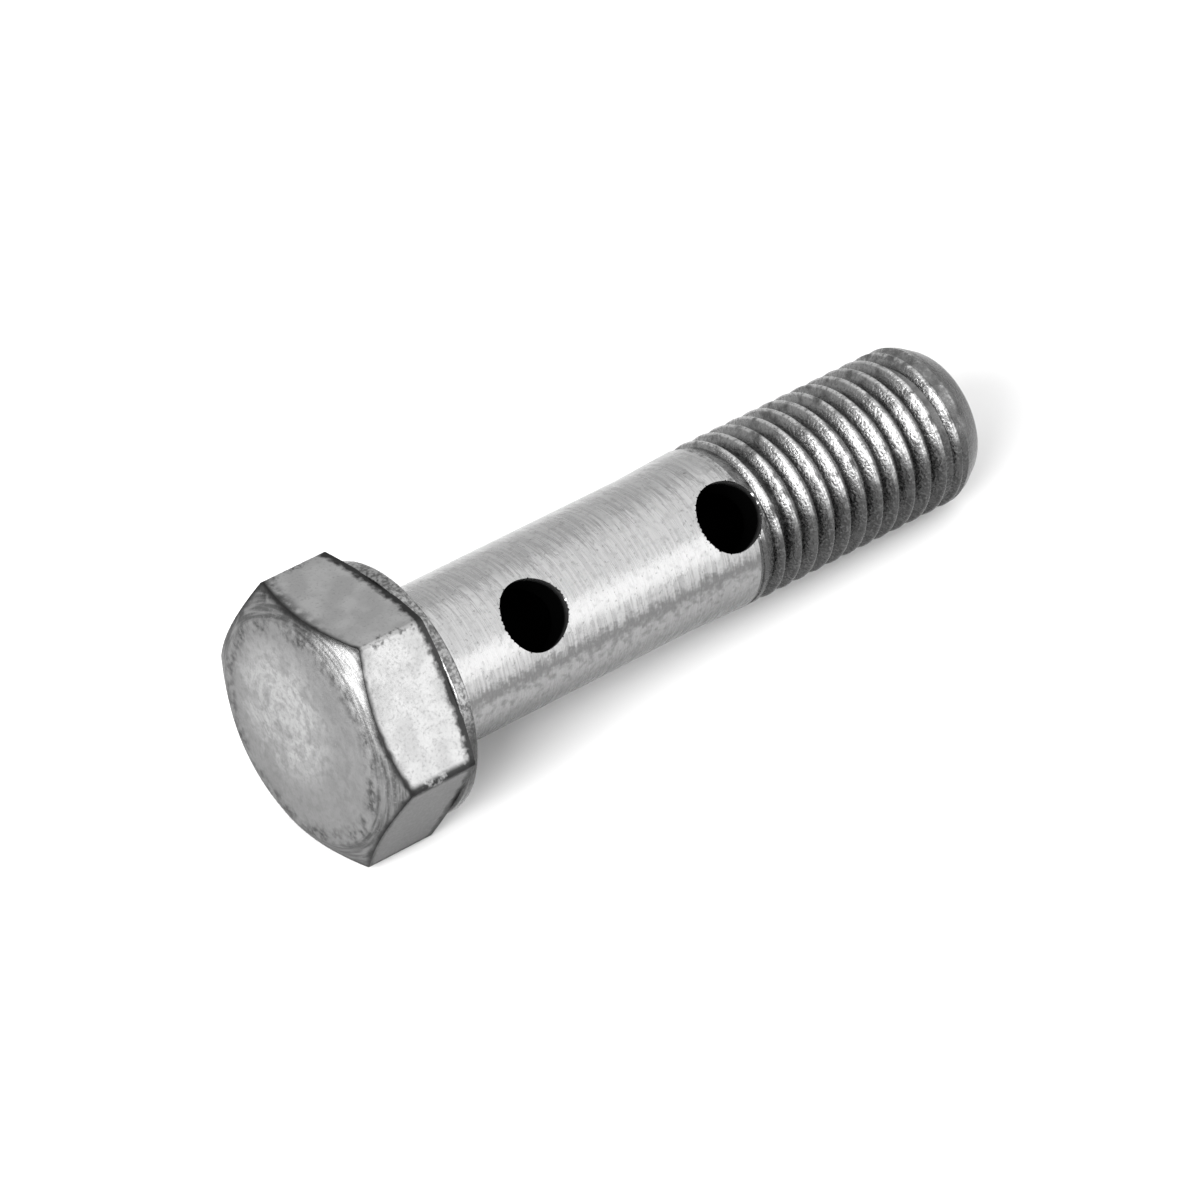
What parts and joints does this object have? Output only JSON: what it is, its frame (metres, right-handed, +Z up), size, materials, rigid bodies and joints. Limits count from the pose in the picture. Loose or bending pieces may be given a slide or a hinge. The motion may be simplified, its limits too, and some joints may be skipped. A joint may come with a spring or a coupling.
{
  "type": "banjo bolt",
  "caption": "Long hexagon-head banjo bolt with a blind axial bore, cross-drilled ports and a fine-threaded end, lying at rest.",
  "frame": {"origin": "centre of the bearing face under the head, on the bolt's axis", "axes": "+Z up and +X along the bolt from the head to the tip, as it lies at rest on the rim of its collar and the thread at its tip: the axis dips 3.85 degrees below +X. One flat of the hexagon faces straight up, apart from that dip, and the upper mouths of the ports point 46.7 degrees from it towards -Y."},
  "size_m": [0.0569, 0.0204, 0.0184],
  "materials": {
    "zinc_plated_steel": "zinc plated, dull grey with a bright turned shank and dark stains along the edges of the head"
  },
  "bodies": {
    "root": {"banjo_bolt": "zinc_plated_steel"}
  },
  "joints": []
}
